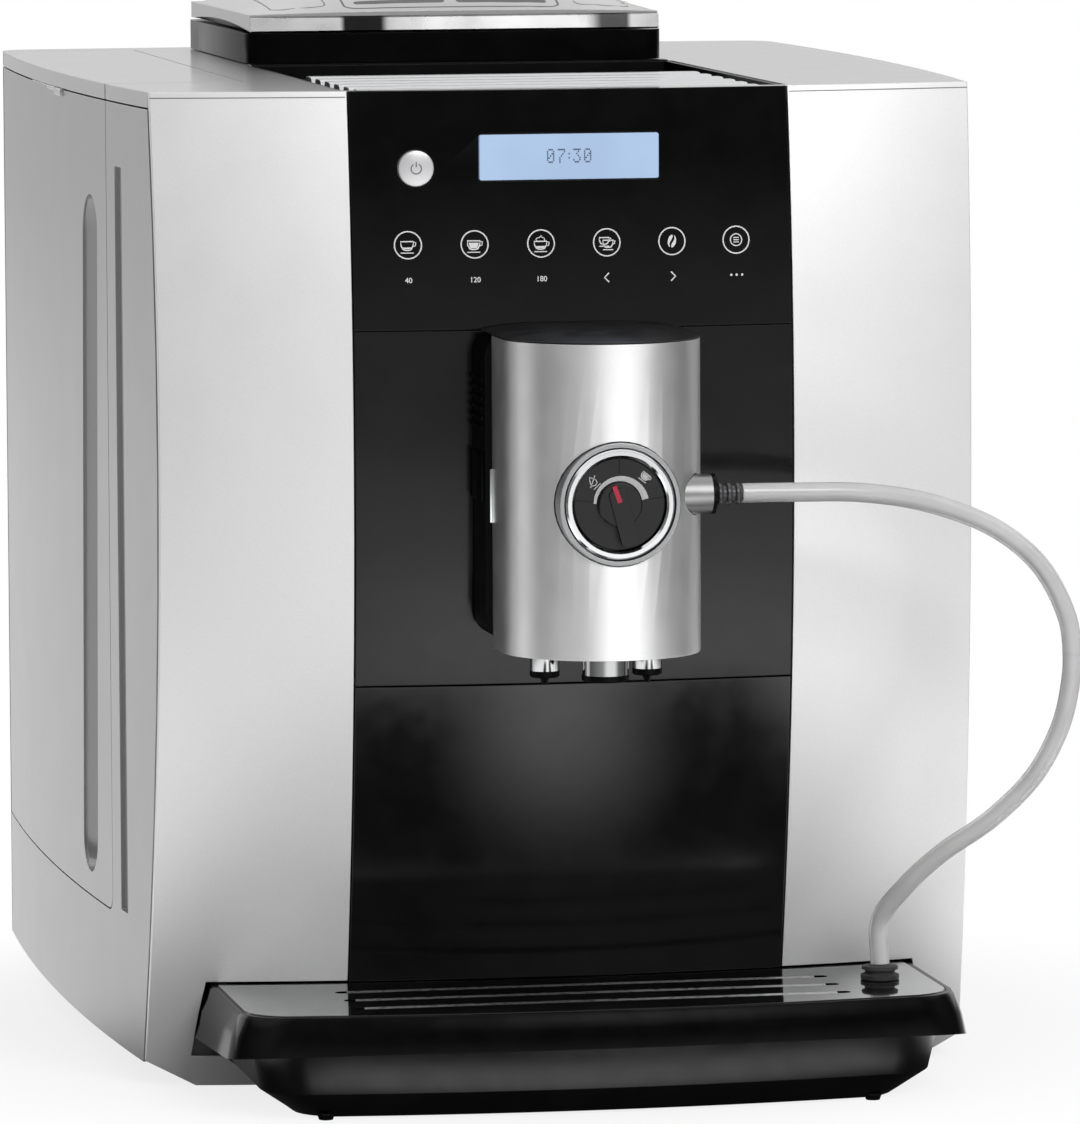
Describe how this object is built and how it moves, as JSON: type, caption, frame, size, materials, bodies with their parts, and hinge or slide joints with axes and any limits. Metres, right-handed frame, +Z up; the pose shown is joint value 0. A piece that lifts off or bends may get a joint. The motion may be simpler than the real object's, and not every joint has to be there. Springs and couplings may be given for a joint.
{
  "type": "bean to cup coffee machine",
  "caption": "Countertop bean to cup coffee machine with a height-adjustable milk and coffee spout, drip tray drawer, side water tank and bean hopper.",
  "frame": {"origin": "bottom centre of the machine, on the surface it stands on", "axes": "+Z up, -Y towards the user and the spout, +X to the user's right"},
  "size_m": [0.3143, 0.451, 0.37],
  "materials": {
    "silver_side": "satin silver paint on plastic",
    "silver_wing": "light satin silver paint on plastic",
    "black_gloss": "high gloss black",
    "grey_gloss": "glossy dark grey",
    "black_matt": "fine matt black",
    "grey_matt": "matt grey",
    "chrome_trim": "mirror chrome",
    "satin_metal": "brushed satin",
    "polished_plate": "polished steel",
    "display": "back-lit pale blue window",
    "rubber": "black rubber",
    "clear_tank": "smoked clear plastic",
    "silicone": "clear silicone",
    "board": "green circuit board"
  },
  "bodies": {
    "housing": {"base_pan": "black_matt", "foot_front_left": "rubber", "foot_front_right": "rubber", "foot_rear_left": "rubber", "foot_rear_right": "rubber", "front_wing_left": "silver_wing", "front_wing_right": "silver_wing", "side_panel_left": "silver_side", "side_panel_right": "silver_side", "back_cover": "grey_matt", "power_inlet": "black_matt", "top_cover": "silver_side", "control_panel": "black_gloss", "display_window": "display", "middle_panel": "grey_gloss", "front_bulkhead": "black_matt", "shelf_recess": "black_matt", "cup_shelf": "satin_metal", "bean_hopper": "black_matt", "chassis": "grey_matt", "grinder_motor": "black_matt", "grinder_housing": "grey_matt", "brew_unit": "grey_matt", "thermoblock": "satin_metal", "pump": "black_matt", "circuit_board": "board", "milk_hose": "silicone"},
    "power_key": {"power_button": "satin_metal"},
    "spout_head": {"spout_carriage": "black_matt", "spout_shell": "satin_metal", "spout_cap": "grey_gloss", "coffee_nozzle_left": "chrome_trim", "coffee_nozzle_right": "chrome_trim", "milk_nozzle": "chrome_trim", "knob_collar": "satin_metal", "hose_boss": "satin_metal", "hose_barb": "silicone"},
    "milk_knob": {"knob_dial": "black_gloss", "knob_ring": "chrome_trim"},
    "tray_drawer": {"tray_bowl": "grey_gloss", "tray_rim": "black_gloss", "tray_plate": "polished_plate", "hose_grommet": "rubber", "lower_panel": "black_gloss", "grounds_bin": "black_matt"},
    "tank": {"water_tank": "clear_tank", "tank_cover": "silver_side"},
    "tank_flap": {"tank_lid": "silver_side"},
    "hopper_cover": {"hopper_lid": "silver_side", "lid_front_band": "chrome_trim"},
    "side_door": {"service_door": "silver_side"},
    "piston": {"brew_piston": "polished_plate"},
    "burr": {"grinding_burr": "polished_plate"}
  },
  "joints": [
    {"name": "power_press", "type": "slide", "parent": "housing", "child": "power_key", "axis": [0, 1, 0], "range_m": [0, 0.001], "stiffness_N_per_m": 700},
    {"name": "spout_height", "type": "slide", "parent": "housing", "child": "spout_head", "axis": [0, 0, 1], "range_m": [-0.045, 0]},
    {"name": "milk_selector", "type": "hinge", "parent": "spout_head", "child": "milk_knob", "pos_m": [0, -0.2255, 0.2075], "axis": [0, -1, 0], "range_deg": [-60, 75]},
    {"name": "tray_slide", "type": "slide", "parent": "housing", "child": "tray_drawer", "axis": [0, -1, 0], "range_m": [0, 0.2]},
    {"name": "tank_pull", "type": "slide", "parent": "housing", "child": "tank", "axis": [-1, 0, 0], "range_m": [0, 0.06]},
    {"name": "tank_flap_hinge", "type": "hinge", "parent": "housing", "child": "tank_flap", "pos_m": [-0.0988, 0.074, 0.3405], "axis": [0, 1, 0], "range_deg": [0, 95]},
    {"name": "hopper_lid_lift", "type": "slide", "parent": "housing", "child": "hopper_cover", "axis": [0, 0, 1], "range_m": [0, 0.05]},
    {"name": "service_door_hinge", "type": "hinge", "parent": "housing", "child": "side_door", "pos_m": [0.15068, 0.1194, 0.141], "axis": [0, 0, 1], "range_deg": [0, 100]},
    {"name": "piston_travel", "type": "slide", "parent": "housing", "child": "piston", "axis": [0, 0, 1], "range_m": [0, 0.018]},
    {"name": "burr_spin", "type": "hinge", "parent": "housing", "child": "burr", "pos_m": [0, 0.146, 0.2175], "axis": [0, 0, 1], "continuous": true}
  ]
}
